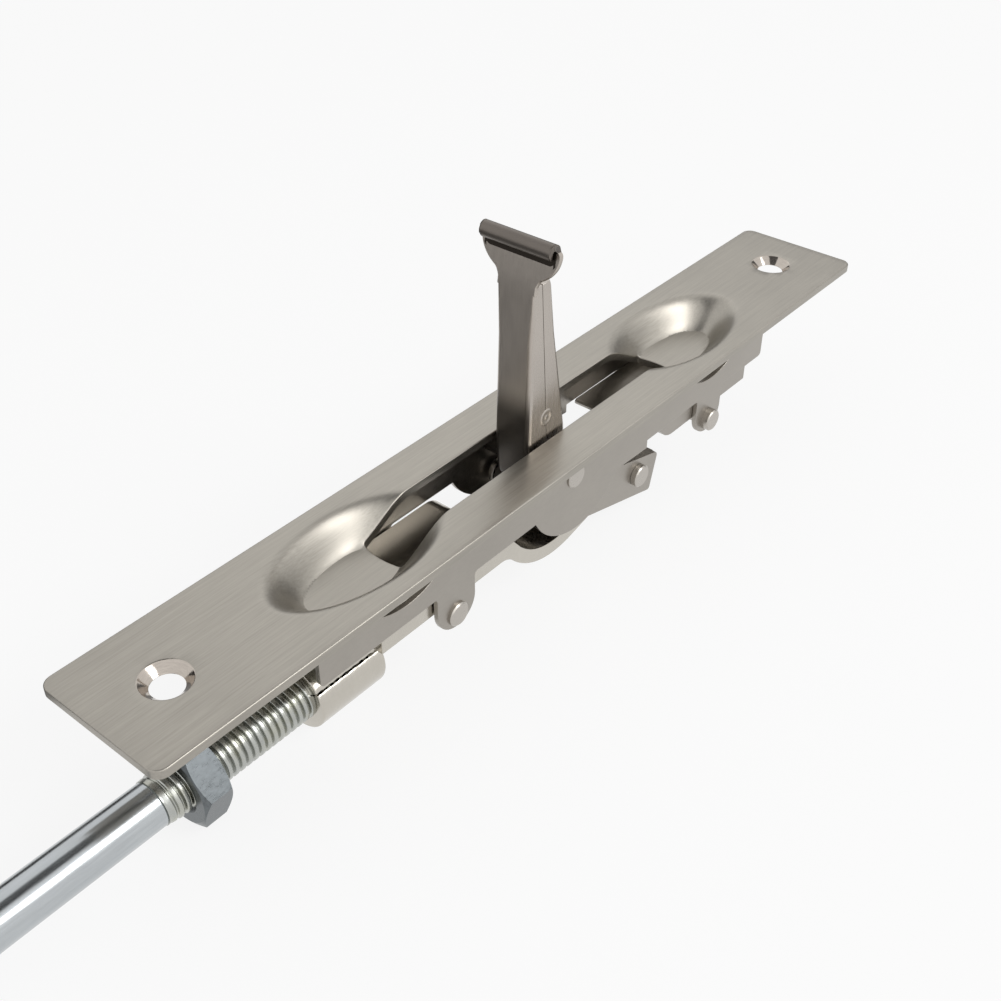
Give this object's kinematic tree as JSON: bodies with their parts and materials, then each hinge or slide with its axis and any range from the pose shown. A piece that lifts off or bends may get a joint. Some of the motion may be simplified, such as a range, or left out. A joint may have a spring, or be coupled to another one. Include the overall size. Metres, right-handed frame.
{
  "type": "door latch",
  "caption": "Lever-action flush bolt for a door edge: dished faceplate, folding T-head lever, crank and link, sliding bar on guide pins, and a threaded bolt rod with a lock nut.",
  "frame": {"origin": "midway between the two fixing screws, on the back face of the faceplate", "axes": "+X along the faceplate, away from the bolt rod; +Y across it; +Z out of its face"},
  "size_m": [0.2845, 0.025, 0.0644],
  "materials": {
    "faceplate_steel": "brushed lengthwise, warm grey",
    "satin_nickel": "satin nickel",
    "pin_nickel": "turned and riveted ends",
    "slider_nickel": "bright nickel",
    "spacer_steel": "plain steel",
    "lever_steel": "fine brushed, darker",
    "zinc_rod": "bright zinc with a blue tint",
    "zinc_nut": "zinc plated"
  },
  "bodies": {
    "frame": {"faceplate": "faceplate_steel", "side_plate_near": "satin_nickel", "side_plate_far": "satin_nickel", "guide_pin_front": "pin_nickel", "guide_pin_rear": "pin_nickel", "tail_plate": "slider_nickel", "pivot_pin": "pin_nickel", "pivot_spacer_near": "spacer_steel", "pivot_spacer_far": "spacer_steel"},
    "lever": {"lever_front_shell": "lever_steel", "lever_back_shell": "lever_steel", "lever_crank": "spacer_steel", "crank_pin": "pin_nickel", "crank_spacer_near": "spacer_steel", "crank_spacer_far": "spacer_steel"},
    "slider": {"slider": "slider_nickel", "bolt_rod": "zinc_rod", "link_pin": "pin_nickel", "lock_nut": "zinc_nut"},
    "link": {"link": "satin_nickel"}
  },
  "joints": [
    {"name": "lever_swing", "type": "hinge", "parent": "frame", "child": "lever", "pos_m": [-0.0008, 0, -0.00395], "axis": [0, 1, 0], "range_deg": [-78.5, 87]},
    {"name": "rod_slide", "type": "slide", "parent": "frame", "child": "slider", "axis": [1, 0, 0], "range_m": [-0.0072, 0.0065]},
    {"name": "link_swing", "type": "hinge", "parent": "slider", "child": "link", "pos_m": [0.02097, 0, -0.0165], "axis": [0, 1, 0], "range_deg": [0, 3]}
  ],
  "couplings": [
    {"joint": "lever_swing", "follows": "rod_slide", "rad_per_m": -206}
  ]
}
